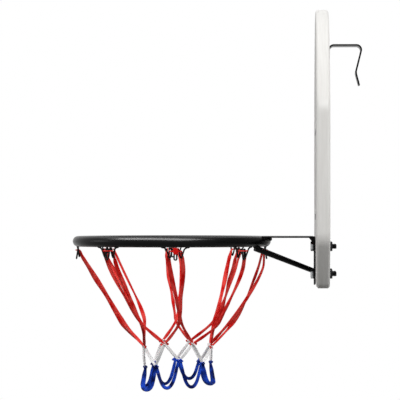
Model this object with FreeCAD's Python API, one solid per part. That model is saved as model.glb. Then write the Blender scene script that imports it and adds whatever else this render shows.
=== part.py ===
"""Mini basketball hoop that hangs over a door: board, door hook, rim, bracket, wire net hooks and a knotted net.

Frame: +X is the player's right, +Y points from the player to the door, +Z is up. The origin is the middle of the
door hook's seat, the underside of its top run, which rests on the door's top edge. Lengths are millimetres.
"""
import FreeCAD
import Part

import math
import os

Vector = FreeCAD.Vector

# Board: a fan outline, one large arch on upright sides, with slanted lower corners
board_width = 450.0
board_height = 342.0
board_thickness = 16.0
board_top_above_seat = 45.0
side_top_drop = 136.6
shoulder_radius = 38.0
taper_height = 57.0
taper_inset = 45.0
taper_top_radius = 28.0
taper_bottom_radius = 15.0
trim_band = 4.0
trim_edge_ease = 2.2

# Door hook: one bent spring-steel strip, screwed flat on the board's back
hook_strip_thickness = 2.0
hook_strip_width = 30.0
hook_reach = 42.0
hook_bend_radius = 5.0
hook_pinch_radius = 12.0
hook_leg_length = 62.0
hook_pinch_drop = 33.0
hook_flare_drop = 16.0
hook_drop_lean = math.radians(14.0)
hook_flare_lean = math.radians(15.0)
hook_corner_radius = 6.0
screw_diameter = 4.0
screw_length = 14.0
screw_head_diameter = 8.0
screw_top_drop = 20.0
screw_spacing = 28.0

# Rim: a round tube ring, level, standing out from the board
ring_radius = 117.0
tube_diameter = 13.0
tube_sides = 12
ring_axis_to_board = 179.5

# Bracket: sheet bent to a top plate that is welded to the ring and a flange that is bolted to the board
plate_thickness = 2.0
plate_width = 80.0
plate_lap = 3.5
flange_height = 60.0
flange_above_board_bottom = 0.5
plate_bend_radius = 2.0
flange_corner_radius = 8.0
gusset_thickness = 2.0
gusset_reach = 6.0
gusset_drop = 8.0

# Bolts: hexagon heads in front, nuts behind
bolt_diameter = 6.0
bolt_length = 28.0
bolt_hole_diameter = 6.6
bolt_spacing_x = 50.0
bolt_below_plate = 12.7
bolt_above_flange_bottom = 13.3
hex_across_flats = 10.0
bolt_head_height = 4.0
nut_height = 5.0

# Braces: two straight rods from the flange up to the ring's underside
brace_diameter = 6.0
brace_foot_spacing = 20.0
brace_above_flange_bottom = 16.5
brace_ring_angle = math.radians(24.0)
brace_end_past_ring = 2.5

# Net hooks: wire bent to a W, its two ends welded under the ring
net_hook_count = 8
wire_diameter = 2.0
wire_sides = 6
wire_weld_sink = 1.0
hook_span = 32.0
hook_wing_spacing = 21.6
hook_wing_drop = 2.0
hook_wing_radius = 2.5
hook_valley_spacing = 12.4
hook_valley_corner_drop = 16.5
hook_valley_radius = 1.6
hook_riser_spacing = 8.6
hook_crest_drop = 2.6
hook_prong_width = 3.2
hook_prong_drop = 15.0
hook_prong_bend_drop = 9.0
hook_prong_inset = 1.0
hook_prong_bend_radius = 5.0
net_turn = math.radians(-5.0)

# Net: red loops on the hooks, white links below them, blue loops at the hem
cord_diameter = 2.6
cord_sides = 6
cord_seat_clearance = 0.35
cord_side_step = 1.6
leg_turn_drop = 12.2
leg_turn_inset = 4.5
leg_turn_spread = 17.0
leg_upper_drop = 38.0
leg_upper_inset = 13.0
leg_upper_spread = 17.0
leg_lower_drop = 90.0
leg_lower_inset = 42.0
leg_lower_spread = 3.6
crossing_above_knots = 20.0
crossing_radius = 62.0
crossing_offset = 2.8
upper_knot_drop = 129.0
upper_knot_radius = 45.0
link_drop = 22.0
lower_knot_radius = 41.0
hem_loop_drop = 30.0
hem_radius = 40.0
knot_diameter = 6.4
knot_height = 7.0
link_bow = 1.5
net_lean = 8.0
net_sway = 6.0

# How far each level leans with the net, and how far each knot hangs above its level, as shares of lean and sway
leg_upper_lean_share = 0.25
leg_lower_lean_share = 0.6
crossing_lean_share = 0.9
upper_knot_lean_share = 0.9
leg_lower_offset_share = 0.7
crossing_rise_shares = (0.0, 0.2, 0.8, -0.1, -0.5, 0.1, 0.5, 0.2)
upper_knot_rise_shares = (-0.3, 0.5, 0.5, -0.3, -0.2, 0.4, 0.4, -0.2)
lower_knot_rise_shares = (0.0, 0.0, 0.7, -0.6, -1.0, -0.4, 0.4, 0.1)
hook_turn_shares = (0.6, 1.15, 1.0, 1.3, 0.6, 0.25, 0.4, 0.4)
hem_rise_shares = (0.6, 0.2, 0.0, -0.45, -0.3, 0.1, 1.2, 0.4)

# Shape of one hem loop between two lower knots: how far across, and how far down to the hem
hem_across_shares = (0.17, 0.38, 0.62, 0.83)
hem_down_shares = (0.62, 1.0, 1.0, 0.62)

# A cord's bend takes this share of its shorter run, and round bends of wire and cord are made of flats
bend_run_share = 0.45
bend_flat_turn = math.radians(52)
knot_waist_share = 0.55

cut_overrun = 10.0
same_place = 1e-5
gap_step = 1.5
gap_apart = 30.0

# Places that follow from the sizes above
board_back_y = -hook_reach / 2
board_front_y = board_back_y - board_thickness
board_top_z = board_top_above_seat
board_bottom_z = board_top_z - board_height
flange_front_y = board_front_y - plate_thickness
ring_y = board_front_y - ring_axis_to_board
tube_radius = tube_diameter / 2
flange_bottom_z = board_bottom_z + flange_above_board_bottom
plate_top_z = flange_bottom_z + flange_height
ring_z = plate_top_z - tube_radius
hook_pitch = 2 * math.pi / net_hook_count
crossing_drop = upper_knot_drop - crossing_above_knots
lower_knot_drop = upper_knot_drop + link_drop
hem_drop = lower_knot_drop + hem_loop_drop


def bends(points, radii):
    """Each inner point's tangent arc, one radius each: its start, middle, end and half of its turn."""
    arcs = []
    for before, corner, after, radius in zip(points, points[1:], points[2:], radii):
        way_in = (corner - before).normalize()
        way_out = (after - corner).normalize()
        half_turn = way_in.getAngle(way_out) / 2
        towards_centre = (way_out - way_in).normalize()
        start = corner - way_in * (radius * math.tan(half_turn))
        end = corner + way_out * (radius * math.tan(half_turn))
        centre = corner + towards_centre * (radius / math.cos(half_turn))
        arcs.append((start, centre - towards_centre * radius, end, centre, half_turn))
    return arcs


def rounded_edges(points, radii):
    """Straight runs through the points, joined by tangent arcs."""
    edges = []
    place = points[0]
    for start, middle, end, _, _ in bends(points, radii):
        edges.append(Part.LineSegment(place, start).toShape())
        edges.append(Part.Arc(start, middle, end).toShape())
        place = end
    edges.append(Part.LineSegment(place, points[-1]).toShape())
    return edges


def loose_radius(before, corner, after):
    """The largest bend that leaves the rest of both runs straight."""
    run = min(before.distanceToPoint(corner), corner.distanceToPoint(after))
    turn = (corner - before).getAngle(after - corner)
    return bend_run_share * run / math.tan(turn / 2)


def loose_radii(points):
    return [loose_radius(*three) for three in zip(points, points[1:], points[2:])]


def polygon_corners(centre, normal, circle_radius, sides):
    """Corners of a regular polygon on the circle of that radius round the normal."""
    turn = FreeCAD.Rotation(Vector(0, 0, 1), normal)
    corners = []
    for side in range(sides):
        angle = 2 * math.pi * (side + 0.5) / sides
        spoke = Vector(math.cos(angle), math.sin(angle), 0) * circle_radius
        corners.append(centre + turn.multVec(spoke))
    return corners


def polygon_face(centre, normal, circle_radius, sides):
    corners = polygon_corners(centre, normal, circle_radius, sides)
    return Part.Face(Part.makePolygon(corners + corners[:1]))


def skin(rings):
    """A closed solid of flat faces through rings of corners."""
    faces = [Part.Face(Part.makePolygon(ring + ring[:1])) for ring in (rings[0], rings[-1])]
    for low, high in zip(rings, rings[1:]):
        for this in range(len(low)):
            after = (this + 1) % len(low)
            quad = [low[this], low[after], high[after], high[this], low[this]]
            faces.append(Part.Face(Part.makePolygon(quad)))
    solid = Part.makeSolid(Part.makeShell(faces))
    if solid.Volume < 0:
        solid.reverse()
    return solid


def flat_route(points, radii):
    """The rounded route with each arc made of straight flats, none turning by more than the named turn."""
    route = [points[0]]
    for start, _, end, centre, half_turn in bends(points, radii):
        flats = math.ceil(2 * half_turn / bend_flat_turn)
        spoke = start - centre
        axis = spoke.cross(end - centre)
        for flat in range(flats + 1):
            turn = FreeCAD.Rotation(axis, math.degrees(2 * half_turn * flat / flats))
            place = centre + turn.multVec(spoke)
            if place.distanceToPoint(route[-1]) > same_place:
                route.append(place)
    return route + [points[-1]]


def swept(points, radii, diameter, sides):
    """A wire or cord with flat sides along the rounded route, mitred where the flats meet."""
    route = flat_route(points, radii)
    ways = [(after - before).normalize() for before, after in zip(route, route[1:])]
    ring = polygon_corners(route[0], ways[0], diameter / 2, sides)
    rings = [ring]
    for index, way in enumerate(ways):
        corner = route[index + 1]
        mitre = way + ways[index + 1] if index + 1 < len(ways) else way
        ring = [point + way * ((corner - point).dot(mitre) / way.dot(mitre)) for point in ring]
        rings.append(ring)
    return skin(rings)


def bent_strip(points, radii, thickness, width):
    """Sheet of one thickness bent along points in the YZ plane, with the middle of its width at X = 0."""
    along_x = Vector(1, 0, 0)
    middle = rounded_edges(points, radii)
    sides = []
    for side in (-1, 1):
        shifted = []
        for edge in middle:
            ends = []
            for place in (edge.FirstParameter, (edge.FirstParameter + edge.LastParameter) / 2, edge.LastParameter):
                across = edge.tangentAt(place).cross(along_x)
                ends.append(edge.valueAt(place) + across * (side * thickness / 2))
            line = isinstance(edge.Curve, Part.Line)
            curve = Part.LineSegment(ends[0], ends[2]) if line else Part.Arc(*ends)
            shifted.append(curve.toShape())
        sides.append(shifted)
    corners = [[shifted[0].Vertexes[0].Point, shifted[-1].Vertexes[-1].Point] for shifted in sides]
    caps = [Part.LineSegment(near, far).toShape() for near, far in zip(*corners)]
    outline = Part.Wire(Part.__sortEdges__(sides[0] + sides[1] + caps))
    sheet = Part.Face(outline)
    sheet.translate(along_x * (-width / 2))
    return sheet.extrude(along_x * width)


def rounded_corners(shape, z, radius):
    """Rounds the sheet's corners at one height: the short edges there, across the sheet."""
    corners = []
    for edge in shape.Edges:
        box = edge.BoundBox
        if abs(box.Center.z - z) < radius and box.XLength < same_place and box.ZLength < radius:
            if abs(abs(box.Center.x) - shape.BoundBox.XMax) < same_place:
                if edge.Length < radius and isinstance(edge.Curve, Part.Line):
                    corners.append(edge)
    return shape.makeFillet(radius, corners)


def along_y(x, z, diameter, y_start, y_end):
    """A round bar or hole parallel to Y."""
    return Part.makeCylinder(diameter / 2, y_end - y_start, Vector(x, y_start, z), Vector(0, 1, 0))


def hexagon_along_y(x, z, across_flats, y_start, y_end):
    section = polygon_face(Vector(x, y_start, z), Vector(0, 1, 0), across_flats / math.sqrt(3), 6)
    return section.extrude(Vector(0, y_end - y_start, 0))


def board_outline():
    """The fan outline in the XZ plane, in lines and arcs."""
    half = board_width / 2
    shoulder = Vector(half - shoulder_radius, 0, board_top_z - side_top_drop)
    arch_square = shoulder.x ** 2 + side_top_drop ** 2 - shoulder_radius ** 2
    arch_radius = arch_square / (2 * (side_top_drop - shoulder_radius))
    arch_centre = Vector(0, 0, board_top_z - arch_radius)
    spoke = (shoulder - arch_centre).normalize()
    arch_end = arch_centre + spoke * arch_radius
    side_top = shoulder + Vector(shoulder_radius, 0, 0)
    bisector = (spoke + Vector(1, 0, 0)).normalize()
    shoulder_middle = shoulder + bisector * shoulder_radius
    right = [side_top, Vector(half, 0, board_bottom_z + taper_height), Vector(half - taper_inset, 0, board_bottom_z)]
    mirrored = [Vector(-point.x, 0, point.z) for point in reversed(right)]
    radii = [taper_top_radius, taper_bottom_radius, taper_bottom_radius, taper_top_radius]
    edges = rounded_edges(right + mirrored, radii)
    left_end = Vector(-arch_end.x, 0, arch_end.z)
    left_middle = Vector(-shoulder_middle.x, 0, shoulder_middle.z)
    edges.append(Part.Arc(mirrored[-1], left_middle, left_end).toShape())
    edges.append(Part.Arc(left_end, Vector(0, 0, board_top_z), arch_end).toShape())
    edges.append(Part.Arc(arch_end, shoulder_middle, side_top).toShape())
    return Part.Wire(edges)


def slab(outline, y_start, y_end):
    face = Part.Face(outline)
    face.translate(Vector(0, y_start, 0))
    return face.extrude(Vector(0, y_end - y_start, 0))


def bolt_places():
    """X and Z of the four bolts."""
    heights = (plate_top_z - bolt_below_plate, flange_bottom_z + bolt_above_flange_bottom)
    return [(side * bolt_spacing_x / 2, z) for z in heights for side in (-1, 1)]


def screw_places():
    """Z of the door hook's screws, which stand on the board's middle line."""
    return [-screw_top_drop, -screw_top_drop - screw_spacing]


def hook_screws():
    """Countersunk screws, flush with the strip; the cone fills the strip's thickness."""
    screws = []
    strip_back_y = board_back_y + hook_strip_thickness
    for z in screw_places():
        shank = along_y(0, z, screw_diameter, strip_back_y - screw_length, strip_back_y)
        head = Part.makeCone(screw_diameter / 2, screw_head_diameter / 2, hook_strip_thickness,
                             Vector(0, board_back_y, z), Vector(0, 1, 0))
        screws.append(shank.fuse(head).removeSplitter())
    return Part.makeCompound(screws)


def board_pieces():
    """The panel, with its bolt and screw holes, and the band that trims its edge with eased corners."""
    outline = board_outline()
    panel_outline = outline.makeOffset2D(-trim_band)
    holes = [along_y(x, z, bolt_hole_diameter, board_front_y - cut_overrun, board_back_y + cut_overrun)
             for x, z in bolt_places()]
    panel = slab(panel_outline, board_front_y, board_back_y).cut(holes + [hook_screws()])
    blank = slab(outline, board_front_y, board_back_y)
    rims = [edge for edge in blank.Edges if edge.BoundBox.YLength < same_place]
    eased = blank.makeChamfer(trim_edge_ease, rims)
    opening = slab(panel_outline, board_front_y - cut_overrun, board_back_y + cut_overrun)
    return {"board_panel": panel, "edge_trim": eased.cut(opening)}


def door_hook():
    """Leg on the board, top run over the door, drop leg that leans in to a pinch and flares at its tip."""
    bend = hook_bend_radius + hook_strip_thickness / 2
    top_z = hook_strip_thickness / 2
    half_turn = (math.pi / 2 + hook_drop_lean) / 2
    corner_y = board_back_y + hook_reach - hook_strip_thickness / 2 + bend * (math.tan(half_turn) - 1)
    pinch_y = corner_y - (hook_pinch_drop + top_z) * math.tan(hook_drop_lean)
    tip_y = pinch_y + hook_flare_drop * math.tan(hook_flare_lean)
    leg_y = board_back_y + hook_strip_thickness / 2
    points = [
        Vector(0, leg_y, -hook_leg_length),
        Vector(0, leg_y, top_z),
        Vector(0, corner_y, top_z),
        Vector(0, pinch_y, -hook_pinch_drop),
        Vector(0, tip_y, -hook_pinch_drop - hook_flare_drop),
    ]
    radii = [bend, bend, hook_pinch_radius]
    strip = bent_strip(points, radii, hook_strip_thickness, hook_strip_width)
    for end in (points[0], points[-1]):
        strip = rounded_corners(strip, end.z, hook_corner_radius)
    return strip.cut(hook_screws())


def rim_ring():
    """The tube ring, its round section drawn with flat sides, one of them on top."""
    corner_radius = tube_radius / math.cos(math.pi / tube_sides)
    section = polygon_face(Vector(ring_radius, ring_y, ring_z), Vector(0, 1, 0), corner_radius, tube_sides)
    return section.revolve(Vector(0, ring_y, ring_z), Vector(0, 0, 1), 360)


def rim_bracket(ring):
    """Top plate cut to the ring, flange with bolt holes, and a small gusset at each end of the bend."""
    bend = plate_bend_radius + plate_thickness / 2
    middle_z = plate_top_z - plate_thickness / 2
    flange_y = board_front_y - plate_thickness / 2
    points = [Vector(0, ring_y, middle_z), Vector(0, flange_y, middle_z), Vector(0, flange_y, flange_bottom_z)]
    sheet = bent_strip(points, [bend], plate_thickness, plate_width)
    sheet = rounded_corners(sheet, flange_bottom_z, flange_corner_radius)
    mouth_radius = ring_radius + tube_radius - plate_lap
    mouth = Part.makeCylinder(mouth_radius, 2 * tube_diameter, Vector(0, ring_y, ring_z - tube_diameter))
    sheet = sheet.cut([mouth, ring])

    corner = Vector(0, flange_front_y, plate_top_z - plate_thickness)
    inner = corner + Vector(0, bend, bend) * 0.5
    tips = [corner - Vector(0, gusset_reach, 0), corner - Vector(0, 0, gusset_drop)]
    roots = [tips[0] + Vector(0, 0, plate_thickness / 2), inner, tips[1] + Vector(0, plate_thickness / 2, 0)]
    side = Part.Face(Part.makePolygon([tips[0], roots[0], roots[1], roots[2], tips[1], tips[0]]))
    for x in (-plate_width / 2, plate_width / 2 - gusset_thickness):
        gusset = side.extrude(Vector(gusset_thickness, 0, 0))
        gusset.translate(Vector(x, 0, 0))
        sheet = sheet.fuse(gusset)
    holes = [along_y(x, z, bolt_hole_diameter, flange_front_y - cut_overrun, board_front_y + cut_overrun)
             for x, z in bolt_places()]
    return sheet.removeSplitter().cut(holes)


def rim_bolts():
    bolts = []
    for x, z in bolt_places():
        head = hexagon_along_y(x, z, hex_across_flats, flange_front_y - bolt_head_height, flange_front_y)
        shank = along_y(x, z, bolt_diameter, flange_front_y, flange_front_y + bolt_length)
        bolts.append(head.fuse(shank))
    return Part.makeCompound(bolts)


def rim_nuts():
    back_y = board_back_y + nut_height
    nuts = [hexagon_along_y(x, z, hex_across_flats, board_back_y, back_y)
            .cut(along_y(x, z, bolt_diameter, board_back_y, back_y)) for x, z in bolt_places()]
    return Part.makeCompound(nuts)


def brace_rod(side, ring):
    """A straight rod from the flange to the ring's underside, where it is welded and ends just past the tube."""
    angle = side * brace_ring_angle
    foot = Vector(side * brace_foot_spacing / 2, flange_front_y, flange_bottom_z + brace_above_flange_bottom)
    seat_drop = tube_radius + brace_diameter / 2
    seat = Vector(ring_radius * math.sin(angle), ring_y + ring_radius * math.cos(angle), ring_z - seat_drop)
    way = (seat - foot).normalize()
    start = foot - way * brace_diameter
    end = seat + way * brace_end_past_ring
    rod = Part.makeCylinder(brace_diameter / 2, (end - start).Length, start, way)
    behind = Part.makeBox(plate_width, 2 * brace_diameter, flange_height,
                          Vector(-plate_width / 2, flange_front_y, flange_bottom_z))
    return rod.cut([behind, ring])


def at_ring(angle, along, outward, drop):
    """A point beside the ring's middle line: along the ring, outward from its axis, and down from its plane."""
    radius = ring_radius + outward
    x = radius * math.sin(angle) + along * math.cos(angle)
    y = ring_y + radius * math.cos(angle) - along * math.sin(angle)
    return Vector(x, y, ring_z - drop)


def hook_angle(index):
    """A hook's place round the ring, from the hook nearest the board."""
    return index * hook_pitch + net_turn * hook_turn_shares[index % len(hook_turn_shares)]


def net_hook(angle, ring):
    """Wing, narrow valley, riser and crest on each side, with a U prong between them that leans in at its tip."""
    riser = hook_riser_spacing / 2
    prong = hook_prong_width / 2
    riser_slant = math.atan2(hook_valley_spacing / 2 - riser, hook_valley_corner_drop - hook_crest_drop)
    crest_radius = (riser - prong) / (1 + math.tan(math.pi / 4 - riser_slant / 2))
    half = [
        (hook_span / 2, 0, tube_radius - wire_weld_sink),
        (hook_wing_spacing / 2, 0, tube_radius + hook_wing_drop),
        (hook_valley_spacing / 2, 0, tube_radius + hook_valley_corner_drop),
        (riser, 0, tube_radius + hook_crest_drop),
        (prong, 0, tube_radius + hook_crest_drop),
        (prong, 0, tube_radius + hook_prong_bend_drop),
        (prong, -hook_prong_inset, tube_radius + hook_prong_drop),
    ]
    half_radii = [hook_wing_radius, hook_valley_radius, crest_radius, crest_radius, hook_prong_bend_radius, prong]
    points = [at_ring(angle, -along, outward, drop) for along, outward, drop in half]
    points += [at_ring(angle, along, outward, drop) for along, outward, drop in reversed(half)]
    radii = half_radii + half_radii[::-1]
    return swept(points, radii, wire_diameter, wire_sides).cut(ring)


def net_point(turns, radius, drop, lean_share, rise_share):
    """A point of the net; turns counts hook pitches round the ring from the hook nearest the board."""
    angle = turns * hook_pitch + net_turn
    y = ring_y + radius * math.cos(angle) + net_lean * lean_share
    return Vector(radius * math.sin(angle), y, ring_z - drop + net_sway * rise_share)


def upper_knot_place(index):
    index %= net_hook_count
    rise = upper_knot_rise_shares[index % len(upper_knot_rise_shares)]
    return net_point(index + 0.5, upper_knot_radius, upper_knot_drop, upper_knot_lean_share, rise)


def lower_knot_place(index):
    index %= net_hook_count
    rise = lower_knot_rise_shares[index % len(lower_knot_rise_shares)]
    return net_point(index, lower_knot_radius, lower_knot_drop, 1, rise)


def knot(place):
    """A tied knot as a small barrel with flat sides."""
    waist = knot_diameter / 2
    levels = [(-knot_height / 2, waist * knot_waist_share), (0, waist), (knot_height / 2, waist * knot_waist_share)]
    up = Vector(0, 0, 1)
    return skin([polygon_corners(place + up * z, up, radius, cord_sides) for z, radius in levels])


def measured_cord(name, points, radii):
    """A cord, with its bends, its volume against section times length, and its least gap to itself printed."""
    cord = swept(points, radii, cord_diameter, cord_sides)
    route = flat_route(points, radii)
    length = sum(before.distanceToPoint(after) for before, after in zip(route, route[1:]))
    section = cord_sides / 2 * (cord_diameter / 2) ** 2 * math.sin(2 * math.pi / cord_sides)
    samples = []
    for before, after in zip(route, route[1:]):
        steps = math.ceil(before.distanceToPoint(after) / gap_step)
        samples += [before + (after - before) * (step / steps) for step in range(steps)]
    apart = round(gap_apart / gap_step)
    pairs = [(samples[this], other) for this in range(len(samples)) for other in samples[this + apart:]]
    gaps = [this.distanceToPoint(other) - cord_diameter for this, other in pairs]
    print(name, "bends", [round(radius, 1) for radius in radii], "length", round(length, 1),
          "volume share", round(cord.Volume / (section * length), 4),
          "least gap", round(min(gaps), 2) if gaps else "none near")
    return cord


def valley_seat(clear):
    """Where a cord that stays this far from the wire's middle line sits in a valley: along, and below the ring's plane."""
    corner = Vector(hook_valley_spacing / 2, hook_valley_corner_drop)
    wing = (Vector(hook_wing_spacing / 2, hook_wing_drop) - corner).normalize()
    riser = (Vector(hook_riser_spacing / 2, hook_crest_drop) - corner).normalize()
    seat = corner + (wing + riser).normalize() * (clear / math.sin(wing.getAngle(riser) / 2))
    return seat.x, tube_radius + seat.y


def between_knots(cord, knots):
    """The cord without its ends inside the knots."""
    return max(cord.cut(knots).Solids, key=lambda solid: solid.Volume)


def red_cord(index, knots):
    """One loop: up from a knot, over one valley of its hook, across in front of the prong, back over the other, and down.

    The two legs cross below the hook, one in front of the other, and each runs on to the knot on the far side.
    """
    angle = hook_angle(index)
    seat = wire_diameter / 2 + cord_diameter / 2 + cord_seat_clearance
    seat_along, seat_drop = valley_seat(seat)
    rise = crossing_rise_shares[index % len(crossing_rise_shares)]

    def leg(side):
        lean = Vector(0, net_lean, 0)
        upper = at_ring(angle, side * leg_upper_spread / 2, -leg_upper_inset, leg_upper_drop)
        lower_inset = leg_lower_inset + side * crossing_offset * leg_lower_offset_share
        lower = at_ring(angle, side * leg_lower_spread / 2, -lower_inset, leg_lower_drop)
        return [
            lower + lean * leg_lower_lean_share,
            upper + lean * leg_upper_lean_share,
            at_ring(angle, side * leg_turn_spread / 2, -leg_turn_inset, tube_radius + leg_turn_drop),
            at_ring(angle, side * seat_along, -seat, seat_drop),
            at_ring(angle, side * seat_along, seat, seat_drop),
        ]

    inner = net_point(index, crossing_radius - crossing_offset, crossing_drop, crossing_lean_share, rise)
    outer = net_point(index, crossing_radius + crossing_offset, crossing_drop, crossing_lean_share, rise)
    points = [upper_knot_place(index - 1), inner] + leg(1) + leg(-1)[::-1] + [outer, upper_knot_place(index)]
    radii = loose_radii(points)
    seat_radius = seat - cord_seat_clearance
    for corner in range(5, 9):
        radii[corner - 1] = seat_radius
    return between_knots(measured_cord(f"red cord {index + 1}", points, radii), knots)


def white_cord(index, knots):
    """Two links that hang from one upper knot to the two lower knots beside it."""
    top = upper_knot_place(index)
    links = []
    for bottom in (lower_knot_place(index), lower_knot_place(index + 1)):
        middle = (top + bottom) * 0.5
        outward = Vector(middle.x, middle.y - ring_y, 0).normalize()
        points = [top, middle + outward * link_bow, bottom]
        links.append(between_knots(measured_cord(f"white cord {index + 1}", points, loose_radii(points)), knots))
    return Part.makeCompound(links)


def blue_cord(index, knots):
    """A hem loop between two lower knots, beside the next loop where they leave the knot they share."""
    start = lower_knot_place(index)
    end = lower_knot_place(index + 1)
    along = (end - start).normalize() * cord_side_step
    start = start + along
    end = end - along
    rise = hem_rise_shares[index % len(hem_rise_shares)]
    points = [start]
    for across, down in zip(hem_across_shares, hem_down_shares):
        hem = net_point(index + across, hem_radius, hem_drop, 1, rise)
        level = start.z + (end.z - start.z) * across
        points.append(Vector(hem.x, hem.y, level + (hem.z - level) * down))
    points.append(end)
    return between_knots(measured_cord(f"blue cord {index + 1}", points, loose_radii(points)), knots)


def net_pieces():
    upper = [knot(upper_knot_place(index)) for index in range(net_hook_count)]
    lower = [knot(lower_knot_place(index)) for index in range(net_hook_count)]
    pieces = {"net_upper_knots": Part.makeCompound(upper), "net_lower_knots": Part.makeCompound(lower)}
    for index in range(net_hook_count):
        after = (index + 1) % net_hook_count
        number = index + 1
        pieces[f"net_red_cord_{number}"] = red_cord(index, [upper[index - 1], upper[index]])
        pieces[f"net_white_cord_{number}"] = white_cord(index, [upper[index], lower[index], lower[after]])
        pieces[f"net_blue_cord_{number}"] = blue_cord(index, [lower[index], lower[after]])
    return pieces


def build():
    ring = rim_ring()
    pieces = board_pieces()
    pieces["door_hook"] = door_hook()
    pieces["hook_screws"] = hook_screws()
    pieces["rim_ring"] = ring
    pieces["rim_bracket"] = rim_bracket(ring)
    pieces["rim_bolts"] = rim_bolts()
    pieces["rim_nuts"] = rim_nuts()
    pieces["brace_rod_left"] = brace_rod(-1, ring)
    pieces["brace_rod_right"] = brace_rod(1, ring)
    for index in range(net_hook_count):
        pieces[f"net_hook_{index + 1}"] = net_hook(hook_angle(index), ring)
    pieces.update(net_pieces())
    return pieces


os.makedirs("parts", exist_ok=True)
for name, shape in build().items():
    shape.exportStep(f"parts/{name}.step")
    volumes = [round(solid.Volume, 1) for solid in shape.Solids]
    print(name, "valid" if shape.isValid() else "NOT VALID", "solids", len(volumes), "volumes", volumes)
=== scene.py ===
"""Dressed model of a small basketball hoop that hangs over a door: board, hook, rim, wire hooks and net."""

import math
import random

import bpy
from mathutils import Matrix, Vector


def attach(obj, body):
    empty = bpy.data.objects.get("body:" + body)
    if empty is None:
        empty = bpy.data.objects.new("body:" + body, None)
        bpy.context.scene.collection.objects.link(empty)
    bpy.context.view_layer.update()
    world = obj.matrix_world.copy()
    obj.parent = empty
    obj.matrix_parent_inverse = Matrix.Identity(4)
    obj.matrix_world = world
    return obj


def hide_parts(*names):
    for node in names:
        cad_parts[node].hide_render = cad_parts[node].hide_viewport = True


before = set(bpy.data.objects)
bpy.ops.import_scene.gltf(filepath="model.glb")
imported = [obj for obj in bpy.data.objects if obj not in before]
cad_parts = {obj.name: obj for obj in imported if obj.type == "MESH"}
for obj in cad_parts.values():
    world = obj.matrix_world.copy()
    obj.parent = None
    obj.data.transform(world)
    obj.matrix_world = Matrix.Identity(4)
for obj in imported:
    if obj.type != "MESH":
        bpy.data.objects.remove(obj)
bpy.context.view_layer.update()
bpy.ops.object.select_all(action="DESELECT")

# Sizes and places of the part's source, in metres
MM = 0.001
BOARD_FRONT = -37 * MM
BOARD_BACK = -21 * MM
FLANGE_FRONT = -39 * MM
RING_Y = -216.5 * MM
RING_Z = -243 * MM
RING_RADIUS = 117 * MM
TUBE_RADIUS = 6.5 * MM
BRACE_ANGLE = math.radians(24)
HOOKS = 8
PITCH = 2 * math.pi / HOOKS
NET_TURN = math.radians(-5)
NET_LEAN = 8 * MM
NET_SWAY = 6 * MM
NET_MIDDLE_Y = RING_Y + NET_LEAN / 2

# A tape's UV map counts along and around in units of 10 mm
UV_UNIT = 10 * MM
TAPE_GIRTH = 12.8 * MM


def linear(colour):
    """A hex sRGB colour as linear red, green, blue and alpha."""
    shares = [int(colour[place:place + 2], 16) / 255 for place in (1, 3, 5)]
    return [share / 12.92 if share <= 0.04045 else ((share + 0.055) / 1.055) ** 2.4 for share in shares] + [1]


def node(tree, kind, inputs=None, **settings):
    """Adds a node; an input is given a value, or the output that feeds it."""
    made = tree.nodes.new(kind)
    for name, value in settings.items():
        setattr(made, name, value)
    for name, value in (inputs or {}).items():
        if isinstance(value, bpy.types.NodeSocket):
            tree.links.new(value, made.inputs[name])
        else:
            made.inputs[name].default_value = value
    return made


def new_material(name):
    """A material with only its surface shader and output."""
    material = bpy.data.materials.new(name)
    material.use_nodes = True
    tree = material.node_tree
    tree.nodes.clear()
    shader = node(tree, "ShaderNodeBsdfPrincipled")
    node(tree, "ShaderNodeOutputMaterial", {"Surface": shader.outputs["BSDF"]})
    return material, tree, shader


def finish_surface(tree, shader, **sockets):
    """Sets or links sockets of the surface shader."""
    for name, value in sockets.items():
        socket = shader.inputs[name.replace("_", " ")]
        if isinstance(value, bpy.types.NodeSocket):
            tree.links.new(value, socket)
        else:
            socket.default_value = value


def powder_coated_steel():
    """Black powder coat, baked on: satin, with a fine orange peel and slightly greyer patches."""
    peel_width, patch_width, peel_depth = 1.6 * MM, 22 * MM, 0.2 * MM
    material, tree, shader = new_material("powder_coated_steel")
    place = node(tree, "ShaderNodeTexCoord").outputs["Object"]
    peel = node(tree, "ShaderNodeTexNoise", {"Vector": place, "Scale": 1 / peel_width, "Detail": 2.0})
    patches = node(tree, "ShaderNodeTexNoise", {"Vector": place, "Scale": 1 / patch_width, "Detail": 3.0})
    tone = node(tree, "ShaderNodeMix", {"Factor": patches.outputs["Fac"], "A": linear("#080808"),
                                        "B": linear("#0F0F10")}, data_type="RGBA")
    rough = node(tree, "ShaderNodeMapRange", {"Value": patches.outputs["Fac"], "To Min": 0.25,
                                              "To Max": 0.33})
    bump = node(tree, "ShaderNodeBump", {"Height": peel.outputs["Fac"], "Strength": 0.10,
                                         "Distance": peel_depth})
    finish_surface(tree, shader, Base_Color=tone.outputs["Result"], Roughness=rough.outputs["Result"],
                   Normal=bump.outputs["Normal"], Specular_IOR_Level=0.07)
    return material


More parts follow.
